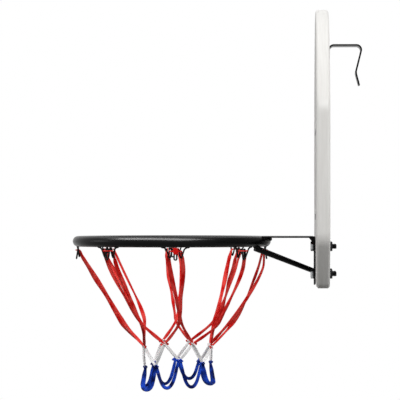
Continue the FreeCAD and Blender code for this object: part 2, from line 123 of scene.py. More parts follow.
def foil_faced_board():
    """White melamine foil on fibreboard, pressed: satin, nearly even, with a faint grain."""
    grain_width, cloud_width, grain_depth = 1.2 * MM, 60 * MM, 0.1 * MM
    material, tree, shader = new_material("foil_faced_board")
    place = node(tree, "ShaderNodeTexCoord").outputs["Object"]
    grain = node(tree, "ShaderNodeTexNoise", {"Vector": place, "Scale": 1 / grain_width, "Detail": 2.0})
    cloud = node(tree, "ShaderNodeTexNoise", {"Vector": place, "Scale": 1 / cloud_width, "Detail": 3.0})
    tone = node(tree, "ShaderNodeMix", {"Factor": cloud.outputs["Fac"], "A": linear("#EDECEA"),
                                        "B": linear("#E4E3E0")}, data_type="RGBA")
    bump = node(tree, "ShaderNodeBump", {"Height": grain.outputs["Fac"], "Strength": 0.05,
                                         "Distance": grain_depth})
    finish_surface(tree, shader, Base_Color=tone.outputs["Result"], Roughness=0.6,
                   Normal=bump.outputs["Normal"], Specular_IOR_Level=0.02)
    return material


def edge_band_plastic():
    """White PVC edge band, extruded and rounded over: satin, with faint draw lines along the edge."""
    line_width, line_depth = 2.5 * MM, 0.2 * MM
    stretched_along = (0.06, 1, 0.06)
    material, tree, shader = new_material("edge_band_plastic")
    place = node(tree, "ShaderNodeTexCoord").outputs["Object"]
    across = node(tree, "ShaderNodeMapping", {"Vector": place, "Scale": stretched_along})
    lines = node(tree, "ShaderNodeTexNoise", {"Vector": across.outputs["Vector"], "Scale": 1 / line_width,
                                              "Detail": 2.0})
    tone = node(tree, "ShaderNodeMix", {"Factor": lines.outputs["Fac"], "A": linear("#F0EFEC"),
                                        "B": linear("#DEDCD8")}, data_type="RGBA")
    bump = node(tree, "ShaderNodeBump", {"Height": lines.outputs["Fac"], "Strength": 0.08,
                                         "Distance": line_depth})
    finish_surface(tree, shader, Base_Color=tone.outputs["Result"], Roughness=0.38,
                   Normal=bump.outputs["Normal"], Specular_IOR_Level=0.25)
    return material


def printed_ink():
    """Dark screen-print ink on the board's face: matt, a little uneven in cover."""
    blot_width = 9 * MM
    material, tree, shader = new_material("printed_ink")
    place = node(tree, "ShaderNodeTexCoord").outputs["Object"]
    cover = node(tree, "ShaderNodeTexNoise", {"Vector": place, "Scale": 1 / blot_width, "Detail": 4.0})
    tone = node(tree, "ShaderNodeMix", {"Factor": cover.outputs["Fac"], "A": linear("#1B1B1E"),
                                        "B": linear("#2A2A2E")}, data_type="RGBA")
    finish_surface(tree, shader, Base_Color=tone.outputs["Result"], Roughness=0.5)
    return material


def plated_steel(name, light, dark, rough_low, rough_high):
    """Plated fastener steel: metallic, with soft blotches from the plating bath."""
    blotch_width = 3 * MM
    material, tree, shader = new_material(name)
    place = node(tree, "ShaderNodeTexCoord").outputs["Object"]
    blotch = node(tree, "ShaderNodeTexNoise", {"Vector": place, "Scale": 1 / blotch_width, "Detail": 4.0})
    tone = node(tree, "ShaderNodeMix", {"Factor": blotch.outputs["Fac"], "A": linear(dark),
                                        "B": linear(light)}, data_type="RGBA")
    rough = node(tree, "ShaderNodeMapRange", {"Value": blotch.outputs["Fac"], "To Min": rough_low,
                                              "To Max": rough_high})
    finish_surface(tree, shader, Base_Color=tone.outputs["Result"], Metallic=1.0,
                   Roughness=rough.outputs["Result"])
    return material


def braided_tape(name, light, dark, glow, relief):
    """Flat braided nylon tape: slanting threads, and darker and paler stretches of painted shade and painted
    light, with hardly any gloss.

    The threads are drawn 1.3 mm wide, coarser than the real ones, so that they show.
    """
    thread, thread_depth, painted_stretch_length = 1.3 * MM, 0.25 * MM, 14 * MM
    thread_slant = 0.75
    # The wave texture's bands are this far apart at a scale of 1
    wave_period = math.pi / 10
    material, tree, shader = new_material(name)
    place = node(tree, "ShaderNodeTexCoord").outputs["UV"]
    bands = []
    for slant in (thread_slant, -thread_slant):
        slanted = node(tree, "ShaderNodeMapping", {"Vector": place, "Rotation": (0, 0, slant)})
        bands.append(node(tree, "ShaderNodeTexWave", {
            "Vector": slanted.outputs["Vector"], "Scale": wave_period / (thread / UV_UNIT),
            "Distortion": 0.6, "Detail": 1.0}).outputs["Fac"])
    braid = node(tree, "ShaderNodeMath", {0: bands[0], 1: bands[1]}, operation="MAXIMUM").outputs["Value"]
    # Stretches about 14 mm long, painted darker and paler along the tape: painted shade and painted light
    # that stand in for how light falls on its twists
    stretch_noise = node(tree, "ShaderNodeTexNoise", {"Vector": node(tree, "ShaderNodeTexCoord").outputs["Object"],
                                              "Scale": 1 / painted_stretch_length, "Detail": 2.0})
    painted_light_and_shade = node(tree, "ShaderNodeMapRange", {"Value": stretch_noise.outputs["Fac"], "From Min": 0.38,
                                             "From Max": 0.58})
    cover = node(tree, "ShaderNodeMapRange", {"Value": braid, "To Min": 0.5, "To Max": 1.0})
    mixed = node(tree, "ShaderNodeMath", {0: cover.outputs["Result"], 1: painted_light_and_shade.outputs["Result"]},
                 operation="MULTIPLY")
    tone = node(tree, "ShaderNodeMix", {"Factor": mixed.outputs["Value"], "A": linear(dark),
                                        "B": linear(light)}, data_type="RGBA")
    bump = node(tree, "ShaderNodeBump", {"Height": braid, "Strength": relief, "Distance": thread_depth})
    finish_surface(tree, shader, Base_Color=tone.outputs["Result"], Roughness=0.55,
                   Normal=bump.outputs["Normal"], Specular_IOR_Level=0.05, Subsurface_Weight=glow,
                   Subsurface_Radius=(1.0, 1.0, 1.0), Subsurface_Scale=2 * MM)
    return material


coat = powder_coated_steel()
board = foil_faced_board()
band = edge_band_plastic()
ink = printed_ink()
zinc = plated_steel("zinc_plated_steel", "#B4B6B8", "#888B8D", rough_low=0.25, rough_high=0.4)
dark_zinc = plated_steel("dark_plated_steel", "#2E2E30", "#161617", rough_low=0.4, rough_high=0.55)
# Each tape's first colour is its palest tone, in painted light, and its second its darkest, in painted shade;
# the threads and the painted stretches mix between them
red_tape = braided_tape("red_braided_tape", "#FF544D", "#DC1613", glow=0.0, relief=0.2)
white_tape = braided_tape("white_braided_tape", "#FFFFFF", "#F6F6F6", glow=0.25, relief=0.08)
blue_tape = braided_tape("blue_braided_tape", "#2654DA", "#07124F", glow=0.0, relief=0.22)


def own(piece, name, material, slot, *replaced):
    """Names and finishes a piece and lets it ride on the part, in place of the nodes that it stands for."""
    piece.name = name
    piece.data.name = name
    piece.data.materials.clear()
    piece.data.materials.append(material)
    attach(piece, "root")
    if replaced:
        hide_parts(*replaced)
    piece.select_set(False)
    return piece


def active(piece):
    """Leaves only this piece selected and active."""
    bpy.ops.object.select_all(action="DESELECT")
    piece.select_set(True)
    bpy.context.view_layer.objects.active = piece
    return piece


def apply_place(piece):
    """Puts a piece's place, turn and scale into its mesh."""
    active(piece)
    bpy.ops.object.transform_apply(location=True, rotation=True, scale=True)
    return piece


def add_modifier(piece, kind, **settings):
    """Adds a modifier and applies it."""
    active(piece)
    modifier = piece.modifiers.new(kind.lower(), kind)
    for name, value in settings.items():
        setattr(modifier, name, value)
    bpy.ops.object.modifier_apply(modifier=modifier.name)
    return piece


def joined(pieces):
    """One object out of several."""
    active(pieces[0])
    for piece in pieces:
        piece.select_set(True)
    if len(pieces) > 1:
        bpy.ops.object.join()
    return pieces[0]


def copied(piece, matrix):
    """A copy with its own mesh, put in its place."""
    twin = piece.copy()
    twin.data = piece.data.copy()
    bpy.context.scene.collection.objects.link(twin)
    twin.data.transform(matrix)
    return twin


def object_from(name, places, edges, faces):
    """An object with a mesh of these points, edges and faces."""
    mesh = bpy.data.meshes.new(name)
    mesh.from_pydata(places, edges, faces)
    piece = bpy.data.objects.new(name, mesh)
    bpy.context.scene.collection.objects.link(piece)
    return piece


def edges_along(points):
    """Edges that join the points in their order."""
    return [(start, start + 1) for start in range(len(points) - 1)]


# Finishes of the CAD nodes; those not named here are coated
NODE_FINISHES = {"board_panel": board, "edge_trim": band, "rim_bolts": zinc, "hook_screws": zinc,
                 "rim_nuts": dark_zinc}
NET_FINISHES = {"red": red_tape, "white": white_tape, "upper": white_tape, "blue": blue_tape,
                "lower": blue_tape}
for name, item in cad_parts.items():
    finish = NODE_FINISHES.get(name, coat)
    for word, tape_finish in NET_FINISHES.items():
        if word in name:
            finish = tape_finish
    item.data.materials.clear()
    item.data.materials.append(finish)


# Ring of tube, with its butt weld on the side of the board
WELD_RISE = 0.35 * MM
WELD_COSINE = 0.999
bpy.ops.mesh.primitive_torus_add(major_segments=144, minor_segments=24, major_radius=RING_RADIUS,
                                 minor_radius=TUBE_RADIUS, location=(0, RING_Y, RING_Z))
ring = apply_place(bpy.context.object)
bpy.ops.object.mode_set(mode="EDIT")
bpy.ops.mesh.select_all(action="DESELECT")
bpy.ops.object.mode_set(mode="OBJECT")
for vertex in ring.data.vertices:
    to_board = vertex.co.y - RING_Y
    vertex.select = to_board > WELD_COSINE * math.hypot(vertex.co.x, to_board)
bpy.ops.object.mode_set(mode="EDIT")
bpy.ops.transform.shrink_fatten(value=WELD_RISE)
bpy.ops.object.mode_set(mode="OBJECT")
bpy.ops.object.shade_smooth()
own(ring, "tube_ring", coat, "black_steel", "rim_ring")


def beside_ring(angle, along, outward, drop):
    """A point beside the ring's middle line, from millimetres along it, outwards and down."""
    radius = RING_RADIUS + outward * MM
    x = radius * math.sin(angle) + along * MM * math.cos(angle)
    y = radius * math.cos(angle) - along * MM * math.sin(angle)
    return Vector((x, RING_Y + y, RING_Z - drop * MM))


def turned(angle):
    """Turns a piece modelled at the ring's side nearest the board to another place round the ring."""
    axis = Matrix.Translation((0, RING_Y, 0))
    return axis @ Matrix.Rotation(-angle, 4, "Z") @ axis.inverted()


def bent_wire(name, corners, bends, radius):
    """A wire bent at its corners: a line of edges, its corners rounded, then given its thickness."""
    wire = object_from(name, corners, edges_along(corners), [])
    offsets = [0.0]
    for before, corner, after, bend in zip(corners, corners[1:], corners[2:], bends):
        offsets.append(bend * math.tan((corner - before).angle(after - corner) / 2))
    offsets.append(0.0)
    weights = wire.data.attributes.new("bevel_weight_vert", "FLOAT", "POINT")
    for place, offset in enumerate(offsets):
        weights.data[place].value = offset / max(offsets)
    add_modifier(wire, "BEVEL", affect="VERTICES", limit_method="WEIGHT", width=max(offsets), segments=6)
    bpy.ops.object.convert(target="CURVE")
    wire = bpy.context.object
    wire.data.bevel_depth = radius
    wire.data.bevel_resolution = 3
    wire.data.use_fill_caps = True
    bpy.ops.object.convert(target="MESH")
    wire = bpy.context.object
    bpy.ops.object.shade_smooth_by_angle(angle=math.radians(50))
    return wire


# Wire hooks: half a hook from its foot to the middle of its prong, as millimetres along the ring, outwards
# and down, with the bend at each corner after the foot, and each hook's share of the net's turn
WIRE_RADIUS = 1.0 * MM
HALF_HOOK = [(16, 0, 5.5), (10.8, 0, 8.5), (6.2, -2.5, 23), (4.3, 0, 9.1), (1.6, 0, 9.1), (1.6, 0.8, 15.5),
             (1.6, 1.8, 21.5)]
HALF_BENDS = [2.5, 1.6, 1.44, 1.44, 5, 1.6]
HOOK_TURN_SHARES = (0.6, 1.15, 1.0, 1.3, 0.6, 0.25, 0.4, 0.4)
hook_corners = [beside_ring(0, -along, outward, drop) for along, outward, drop in HALF_HOOK]
hook_corners += [beside_ring(0, along, outward, drop) for along, outward, drop in reversed(HALF_HOOK)]
hook_bends = [bend * MM for bend in HALF_BENDS + HALF_BENDS[::-1]]
first_hook = bent_wire("net_wire", hook_corners, hook_bends, WIRE_RADIUS)
hook_angles = [place * PITCH + NET_TURN * HOOK_TURN_SHARES[place] for place in range(HOOKS)]
for place, angle in enumerate(hook_angles):
    own(copied(first_hook, turned(angle)), f"wire_hook_{place + 1}", coat, "black_steel",
        f"net_hook_{place + 1}")
bpy.data.objects.remove(first_hook)


# One weld bead, then copies at the hooks' feet, at the braces' ends and along the plate's edge on the ring;
# places are millimetres along the ring, outwards and down
BEAD_RADIUS = 1.9 * MM
BEAD_SHAPE = (1.5, 0.8, 0.55)
HOOK_FOOT = (14.6, 0, 6.6)
BRACE_END = (0, 0, 6.5)
BRACE_BEAD_SHAPE = (1.6, 2.2, 2.2, 1)
PLATE_SEAM = (0, 6.6, -2.7)
SEAM_BEAD_SHAPE = (1.3, 1.3, 2.2, 1)
SEAM_STEP = math.radians(4.5)
SEAM_STEPS_EACH_WAY = 4
bpy.ops.mesh.primitive_uv_sphere_add(segments=16, ring_count=10, radius=BEAD_RADIUS)
bead = bpy.context.object
bpy.ops.object.mode_set(mode="EDIT")
bpy.ops.transform.resize(value=BEAD_SHAPE)
bpy.ops.object.mode_set(mode="OBJECT")
bpy.ops.object.shade_smooth()
beads = []
for angle in hook_angles:
    for side in (-1, 1):
        foot = beside_ring(0, side * HOOK_FOOT[0], *HOOK_FOOT[1:])
        beads.append(copied(bead, turned(angle) @ Matrix.Translation(foot)))
for side in (-1, 1):
    end = Matrix.Translation(beside_ring(side * BRACE_ANGLE, *BRACE_END))
    quarter_turn = Matrix.Rotation(math.pi / 2, 4, "Z")
    beads.append(copied(bead, end @ quarter_turn @ Matrix.Diagonal(BRACE_BEAD_SHAPE)))
for step in range(-SEAM_STEPS_EACH_WAY, SEAM_STEPS_EACH_WAY + 1):
    seam = Matrix.Translation(beside_ring(0, *PLATE_SEAM))
    beads.append(copied(bead, turned(SEAM_STEP * step) @ seam @ Matrix.Diagonal(SEAM_BEAD_SHAPE)))
bpy.data.objects.remove(bead)
own(joined(beads), "weld_beads", coat, "black_steel")


# Bolts and nuts, M6
ACROSS_FLATS = 10 * MM
HEX_CHAMFER = 0.55 * MM
HEAD_HEIGHT = 4 * MM
NUT_HEIGHT = 5 * MM
BOLT_LENGTH = 28 * MM
BOLT_RADIUS = 3 * MM
THREAD_PITCH = 1 * MM
THREAD_DEPTH = 0.45 * MM
THREAD_IN_BOARD = 2 * MM
TIP_LENGTH = 0.6 * MM
TIP_CHAMFER = 0.7 * MM
BOLT_TO_MIDDLE = 25 * MM
BOLT_HEIGHTS = (-249.2 * MM, -283.2 * MM)
BOLTS = [(side * BOLT_TO_MIDDLE, z) for z in BOLT_HEIGHTS for side in (-1, 1)]


def hexagon(name, height, y_start):
    """A chamfered hexagon along Y from its start, on the axis."""
    bpy.ops.object.select_all(action="DESELECT")
    corner_radius = ACROSS_FLATS / 2 / math.cos(math.pi / 6)
    bpy.ops.mesh.primitive_cylinder_add(vertices=6, radius=corner_radius, depth=height,
                                        location=(0, y_start + height / 2, 0), rotation=(math.pi / 2, 0, 0))
    piece = apply_place(bpy.context.object)
    piece.name = name
    add_modifier(piece, "BEVEL", width=HEX_CHAMFER, segments=2, limit_method="ANGLE",
                 angle_limit=math.radians(80))
    bpy.ops.object.shade_smooth_by_angle(angle=math.radians(35))
    return piece


def threaded_end(y_start, y_end):
    """A threaded rod end: a notched profile, from axis to axis, spun about it."""
    outline = [Vector((0, y_start, 0)), Vector((0, y_start, BOLT_RADIUS))]
    crest = y_start
    while crest + THREAD_PITCH < y_end - TIP_LENGTH:
        outline.append(Vector((0, crest + THREAD_PITCH / 2, BOLT_RADIUS - THREAD_DEPTH)))
        outline.append(Vector((0, crest + THREAD_PITCH, BOLT_RADIUS)))
        crest += THREAD_PITCH
    outline += [Vector((0, y_end, BOLT_RADIUS - TIP_CHAMFER)), Vector((0, y_end, 0))]
    rod = active(object_from("thread", outline, edges_along(outline), []))
    bpy.ops.object.mode_set(mode="EDIT")
    bpy.ops.mesh.select_all(action="SELECT")
    bpy.ops.mesh.spin(steps=20, angle=2 * math.pi, center=(0, 0, 0), axis=(0, 1, 0))
    bpy.ops.mesh.select_all(action="SELECT")
    bpy.ops.mesh.remove_doubles(threshold=0.02 * MM)
    bpy.ops.mesh.normals_make_consistent(inside=False)
    bpy.ops.object.mode_set(mode="OBJECT")
    bpy.ops.object.shade_smooth_by_angle(angle=math.radians(35))
    return rod


def at_the_bolts(piece):
    """Copies of a piece at the four bolts, as one object."""
    row = joined([copied(piece, Matrix.Translation((x, 0, z))) for x, z in BOLTS])
    bpy.data.objects.remove(piece)
    return row


bolt = hexagon("head", HEAD_HEIGHT, FLANGE_FRONT - HEAD_HEIGHT)
nut = joined([hexagon("nut", NUT_HEIGHT, BOARD_BACK),
              threaded_end(BOARD_BACK - THREAD_IN_BOARD, FLANGE_FRONT + BOLT_LENGTH)])
own(at_the_bolts(bolt), "hex_bolts", zinc, "zinc_steel", "rim_bolts")
own(at_the_bolts(nut), "hex_nuts", dark_zinc, "dark_steel", "rim_nuts")


# Edge band, its corners rounded over more than the CAD's flat chamfer
BAND_ROUNDING = 0.8 * MM
trim = active(copied(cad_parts["edge_trim"], Matrix.Identity(4)))
bpy.ops.object.mode_set(mode="EDIT")
bpy.ops.mesh.select_all(action="SELECT")
bpy.ops.mesh.remove_doubles(threshold=0.005 * MM)
bpy.ops.mesh.dissolve_limited(angle_limit=math.radians(0.5))
bpy.ops.object.mode_set(mode="OBJECT")
add_modifier(trim, "BEVEL", width=BAND_ROUNDING, segments=3, limit_method="ANGLE",
             angle_limit=math.radians(30))
bpy.ops.object.shade_smooth_by_angle(angle=math.radians(30))
own(trim, "edge_band", band, "white_trim", "edge_trim")


# Front print: a target frame, flat on the foil
TARGET_WIDTH = 148 * MM
TARGET_HEIGHT = 112 * MM
TARGET_Z = -160 * MM
TARGET_LINE = 7 * MM
INK_LIFT = 0.06 * MM
INK_THICKNESS = 0.05 * MM
bpy.ops.object.select_all(action="DESELECT")
bpy.ops.mesh.primitive_plane_add(size=1, location=(0, BOARD_FRONT - INK_LIFT, TARGET_Z),
                                 rotation=(math.pi / 2, 0, 0))
target = bpy.context.object
target.scale = (TARGET_WIDTH, TARGET_HEIGHT, 1)
apply_place(target)
bpy.ops.object.mode_set(mode="EDIT")
bpy.ops.mesh.select_all(action="SELECT")
bpy.ops.mesh.inset(thickness=TARGET_LINE)
bpy.ops.mesh.delete(type="FACE")
bpy.ops.object.mode_set(mode="OBJECT")
add_modifier(target, "SOLIDIFY", thickness=INK_THICKNESS, offset=-1)
own(target, "front_print", ink, "white_board")


# Net routes, with the points of the part's source. A level of the net is its radius and its drop below the
# ring in millimetres, and the share of the net's lean that it has
CROSSING, CROSSING_OFFSET = (62, 109, 0.9), 2.8
UPPER_LEVEL = (45, 129, 0.9)
LOWER_LEVEL = (41, 151, 1)
HEM_LEVEL = (40, 181, 1)
LINK_BOW = 1.5 * MM
HEM_START = 1.6 * MM

# How far each point hangs above its level, as shares of the net's sway
CROSSING_RISE_SHARES = (0.0, 0.2, 0.8, -0.1, -0.5, 0.1, 0.5, 0.2)
UPPER_RISE_SHARES = (-0.3, 0.5, 0.5, -0.3, -0.2, 0.4, 0.4, -0.2)
LOWER_RISE_SHARES = (0.0, 0.0, 0.7, -0.6, -1.0, -0.4, 0.4, 0.1)
HEM_RISE_SHARES = (0.6, 0.2, 0.0, -0.45, -0.3, 0.1, 1.2, 0.4)

# A hem loop's four points: shares of the way across and down, and millimetres outwards. The loops at the two
# sides of the photograph hang wider and further out, so their points are moved from the source's
SIDE_LOOPS = (0, 3, 4, 7)
HEM_ACROSS_SHARES = (0.17, 0.38, 0.62, 0.83)
SIDE_HEM_ACROSS_SHARES = (0.06, 0.2, 0.8, 0.94)
HEM_DOWN_SHARES = (0.62, 1, 1, 0.62)
SIDE_HEM_OUT = 5

# A red leg's points, as millimetres along the ring from the hook's middle, outwards and down, with their
# shares of the net's lean. At the low point one leg passes inside the other
LEG_LOW, LEGS_APART, LEG_LOW_LEAN_SHARE = (1.8, -42, 90), 1.96, 0.6
LEG_HIGH, LEG_HIGH_LEAN_SHARE = (8.5, -13, 38), 0.25
LEG_TURN = (8.5, -4.5, 18.7)
LEG_SEAT = (7.23, 2.65, 10.98)

# Where a leg hangs otherwise in the photograph, its points are moved: millimetres along the ring and
# outwards, for the low and the high point, then for the turn below the hook, by hook and side
LEG_MOVES = {
    (0, 1): ((0, 4.5), (0, 8.5)), (0, -1): ((0, 4.5), (0, 1.5)),
    (1, 1): ((-4, 0), (0, 0)), (1, -1): ((0, 0), (-2.5, 0)),
    (2, 1): ((-4.5, 0), (-1.5, 0)), (2, -1): ((0, 0), (-1, 0)),
    (3, 1): ((0, 0), (0, 0)), (3, -1): ((-4, 0), (6, 0)),
    (4, 1): ((0, -1), (0, -2.5)), (4, -1): ((0, -3), (0, -2)),
    (5, 1): ((7, -4), (2.5, 0)), (5, -1): ((4, 0), (4, 0)),
    (6, 1): ((1.5, 0), (1.5, 0)), (6, -1): ((0, 0), (0, 0)),
    (7, 1): ((4, 0), (-1, 0)), (7, -1): ((0, 0), (0, 0)),
}
TURN_MOVES = {(0, 1): (0, 3), (3, -1): (3, 0)}

# The same for the crossings, in pitches of the hooks
CROSSING_MOVES = {(2, 1): -0.07, (3, 1): -0.08, (3, -1): -0.08, (5, 1): 0.1, (5, -1): 0.08, (7, 1): 0.07}


def net_place(turns, level, rise_share, outward=0):
    """A point of the net at a level, some pitches round from the first place."""
    radius, drop, lean_share = level
    angle = turns * PITCH + NET_TURN
    reach = (radius + outward) * MM
    return Vector((reach * math.sin(angle), RING_Y + reach * math.cos(angle) + NET_LEAN * lean_share,
                   RING_Z + NET_SWAY * rise_share - drop * MM))


def upper_knot(place):
    """Where a knot ties red to white."""
    place %= HOOKS
    return net_place(place + 0.5, UPPER_LEVEL, UPPER_RISE_SHARES[place])


def lower_knot(place):
    """Where a knot ties white to blue."""
    place %= HOOKS
    return net_place(place, LOWER_LEVEL, LOWER_RISE_SHARES[place])


def red_leg(place, side):
    """One leg of a red loop, from above the crossing up to its valley of the hook and over it."""
    low, high = LEG_MOVES[place, side]
    turn = TURN_MOVES.get((place, side), (0, 0))

    def beside_hook(point, along=0, outward=0, lean_share=0):
        spot = beside_ring(hook_angles[place], side * point[0] + along, point[1] + outward, point[2])
        return spot + Vector((0, NET_LEAN * lean_share, 0))

    return [
        beside_hook(LEG_LOW, low[0], low[1] - side * LEGS_APART, LEG_LOW_LEAN_SHARE),
        beside_hook(LEG_HIGH, *high, LEG_HIGH_LEAN_SHARE),
        beside_hook(LEG_TURN, *turn),
        beside_hook(LEG_SEAT, outward=-2 * LEG_SEAT[1]),
        beside_hook(LEG_SEAT),
    ]


def red_route(place):
    """A red loop, from one upper knot over both valleys of its hook to the next upper knot."""
    crossings = []
    for side in (1, -1):
        turns = place + CROSSING_MOVES.get((place, side), 0)
        crossings.append(net_place(turns, CROSSING, CROSSING_RISE_SHARES[place], -side * CROSSING_OFFSET))
    inner, outer = crossings
    legs = red_leg(place, 1) + red_leg(place, -1)[::-1]
    return [upper_knot(place - 1), inner] + legs + [outer, upper_knot(place)]


def white_routes(place):
    """The two links from an upper knot down to the lower knots beside it, bowed outwards a little."""
    top = upper_knot(place)
    routes = []
    for bottom in (lower_knot(place), lower_knot(place + 1)):
        middle = (top + bottom) / 2
        outward = Vector((middle.x, middle.y - RING_Y, 0)).normalized()
        routes.append([top, middle + outward * LINK_BOW, bottom])
    return routes


def blue_route(place):
    """A hem loop between two lower knots."""
    start, end = lower_knot(place), lower_knot(place + 1)
    along = (end - start).normalized() * HEM_START
    start, end = start + along, end - along
    at_side = place in SIDE_LOOPS
    route = [start]
    for across, down in zip(SIDE_HEM_ACROSS_SHARES if at_side else HEM_ACROSS_SHARES, HEM_DOWN_SHARES):
        outward = SIDE_HEM_OUT * down if at_side else 0
        hem = net_place(place + across, HEM_LEVEL, HEM_RISE_SHARES[place], outward)
        level = start.z + (end.z - start.z) * across
        route.append(Vector((hem.x, hem.y, level + (hem.z - level) * down)))
    return route + [end]


def route_line(points, closeness):
    """Points read from the smooth curve that the route's points control."""
    curve = bpy.data.curves.new("route", "CURVE")
    curve.dimensions = "3D"
    curve.resolution_u = closeness
    spline = curve.splines.new("NURBS")
    spline.points.add(len(points) - 1)
    for place, point in zip(spline.points, points):
        place.co = (*point, 1)
    spline.order_u = 3
    spline.use_endpoint_u = True
    holder = bpy.data.objects.new("route", curve)
    bpy.context.scene.collection.objects.link(holder)
    mesh = bpy.data.meshes.new_from_object(holder)
    line = [vertex.co.copy() for vertex in mesh.vertices]
    bpy.data.objects.remove(holder)
    bpy.data.curves.remove(curve)
    bpy.data.meshes.remove(mesh)
    return line


def between(stops, share):
    """Eases between (share, value) stops."""
    for (start, low), (end, high) in zip(stops, stops[1:]):
        if share <= end:
            step = (share - start) / (end - start)
            return low + (high - low) * step * step * (3 - 2 * step)
    return stops[-1][1]


# A tape's section: points round it, how square its edges and faces are, and how far its faces are pressed in
SECTION_POINTS = 16
EDGE_POWER = 0.7
FACE_POWER = 0.8
PRESSED_IN = 0.18


def tape_section(width, thickness, fold):
    """Points round a tape's section, across it and out from it, folded a little along its middle."""
    points = []
    for corner in range(SECTION_POINTS):
        angle = 2 * math.pi * corner / SECTION_POINTS
        x, y = math.cos(angle), math.sin(angle)
        across = math.copysign(abs(x) ** EDGE_POWER, x) * width / 2
        out = math.copysign(abs(y) ** FACE_POWER, y) * thickness / 2 * (1 - PRESSED_IN + PRESSED_IN * abs(x))
        points.append((across, out + fold * (abs(across) - width / 4)))
    return points


def tape(name, line, widths, thicknesses, rolls, folds):
    """A braided tape along a line; its sizes, rolls and folds are stops along its length, from 0 to 1.

    Widths and thicknesses are in millimetres. With no roll, its flat sides face inwards and outwards.
    """
    lengths = [0.0]
    for before, after in zip(line, line[1:]):
        lengths.append(lengths[-1] + (after - before).length)
    places, faces, marks = [], [], []
    for step, point in enumerate(line):
        way = (line[min(step + 1, len(line) - 1)] - line[max(step - 1, 0)]).normalized()
        outward = Vector((point.x, point.y - NET_MIDDLE_Y, 0)).normalized()
        flat = (outward - way * outward.dot(way)).normalized()
        across = way.cross(flat)
        share = lengths[step] / lengths[-1]
        roll = between(rolls, share)
        face = flat * math.cos(roll) + across * math.sin(roll)
        side = across * math.cos(roll) - flat * math.sin(roll)
        width, thickness = between(widths, share) * MM, between(thicknesses, share) * MM
        for x, y in tape_section(width, thickness, between(folds, share)):
            places.append(point + side * x + face * y)
    for step in range(len(line) - 1):
        low, high = step * SECTION_POINTS, (step + 1) * SECTION_POINTS
        for corner in range(SECTION_POINTS):
            after = (corner + 1) % SECTION_POINTS
            faces.append((low + corner, low + after, high + after, high + corner))
            marks += [(lengths[step], corner), (lengths[step], corner + 1),
                      (lengths[step + 1], corner + 1), (lengths[step + 1], corner)]
    for first, order in ((0, -1), ((len(line) - 1) * SECTION_POINTS, 1)):
        cap = [first + corner for corner in range(SECTION_POINTS)][::order]
        faces.append(cap)
        marks += [(0.0, corner % SECTION_POINTS) for corner in cap]
    strip = object_from(name, places, [], faces)
    layer = strip.data.uv_layers.new(name="along_around")
    for spot, (length, corner) in zip(layer.data, marks):
        spot.uv = (length / UV_UNIT, TAPE_GIRTH / UV_UNIT * corner / SECTION_POINTS)
    active(strip)
    bpy.ops.object.mode_set(mode="EDIT")
    bpy.ops.mesh.select_all(action="SELECT")
    bpy.ops.mesh.normals_make_consistent(inside=False)
    bpy.ops.object.mode_set(mode="OBJECT")
    bpy.ops.object.shade_smooth_by_angle(angle=math.radians(50))
    return strip


# How far each leg's flat side is turned from the photograph's side, in degrees: near the crossing, at mid
# height and near the hook, by hook and side
LEG_TWISTS = {
    (0, 1): (25, 10, -35), (0, -1): (-45, -60, 40), (1, 1): (35, -60, 45), (1, -1): (-40, 55, 30),
    (2, 1): (-45, 25, 10), (2, -1): (30, -45, -20), (3, 1): (12, 62, 50), (3, -1): (-50, 25, -5),
    (4, 1): (50, 15, -20), (4, -1): (-30, -55, 45), (5, 1): (15, 72, 66), (5, -1): (45, -40, 45),
    (6, 1): (-40, 60, 50), (6, -1): (55, -50, 60), (7, 1): (30, 66, 70), (7, -1): (-15, 25, -20),
}

# Places where the tape lies flat over its hook or keeps its twist there, and where its legs are narrow;
# widths in millimetres
FLAT_OVER_HOOK, FLAT_WIDTH, BUNCHED_WIDTH = (2, 6), 8.5, 1.4
TWISTED_OVER_HOOK = (0, 4)
NARROW_LEGS, NARROW_SHARE = (0,), 0.65

# What chance may do to a tape: the width of a red leg at mid height, in millimetres, the folds of a red
# loop's two legs, and the twists of white links and hem loops, in radians
PINCH_WIDTHS = (4.0, 4.8)
FOLD_REACHES = (0.7, 0.8, 0.8, 0.7)
LINK_TWIST = 0.6
HEM_TWIST = 0.4

# A white link that hangs away from the photograph's side by this much shows its edge, turned by this angle
LINK_AWAY = 15 * MM
LINK_EDGE_TURN = math.radians(75)


def half_turn(angle):
    """The same roll of a two-sided tape, within a quarter turn of none."""
    return (angle + math.pi / 2) % math.pi - math.pi / 2


def leg_rolls(place, side):
    """A leg's rolls from its outward side, at the crossing, at mid height and near the hook."""
    facing = half_turn(side * (hook_angles[place] - math.pi / 2))
    return [facing + math.radians(twist) for twist in LEG_TWISTS[place, side]]


def from_the_end(stops):
    """The same stops, counted from the tape's other end."""
    return [(1 - share, value) for share, value in reversed(stops)]


def red_widths(place, pinch):
    """Widths of half a red loop: bunched at the knot, the crossing and the hook, open on the leg."""
    slim = NARROW_SHARE if place in NARROW_LEGS else 1
    bight = FLAT_WIDTH if place in FLAT_OVER_HOOK else BUNCHED_WIDTH
    return [(0, 2.6), (0.04, 4.2), (0.09, 3.2), (0.17, 5.2), (0.25, pinch), (0.34, 5.8 * slim),
            (0.43, 5.0 * slim), (0.455, 3.2), (0.47, 2.0), (0.487, 1.4), (0.495, bight)]


def red_rolls(place, side):
    """Rolls of half a red loop, which twists slowly on its leg."""
    low, middle, high = leg_rolls(place, side)
    kept = 1 if place in TWISTED_OVER_HOOK else 0
    return [(0, low / 2), (0.09, low / 2), (0.18, low), (0.27, middle), (0.42, high), (0.46, high * kept)]


def red_folds(low, high):
    """Folds of half a red loop."""
    return [(0, 0.2), (0.12, 0.2), (0.2, low), (0.36, high), (0.46, 0)]


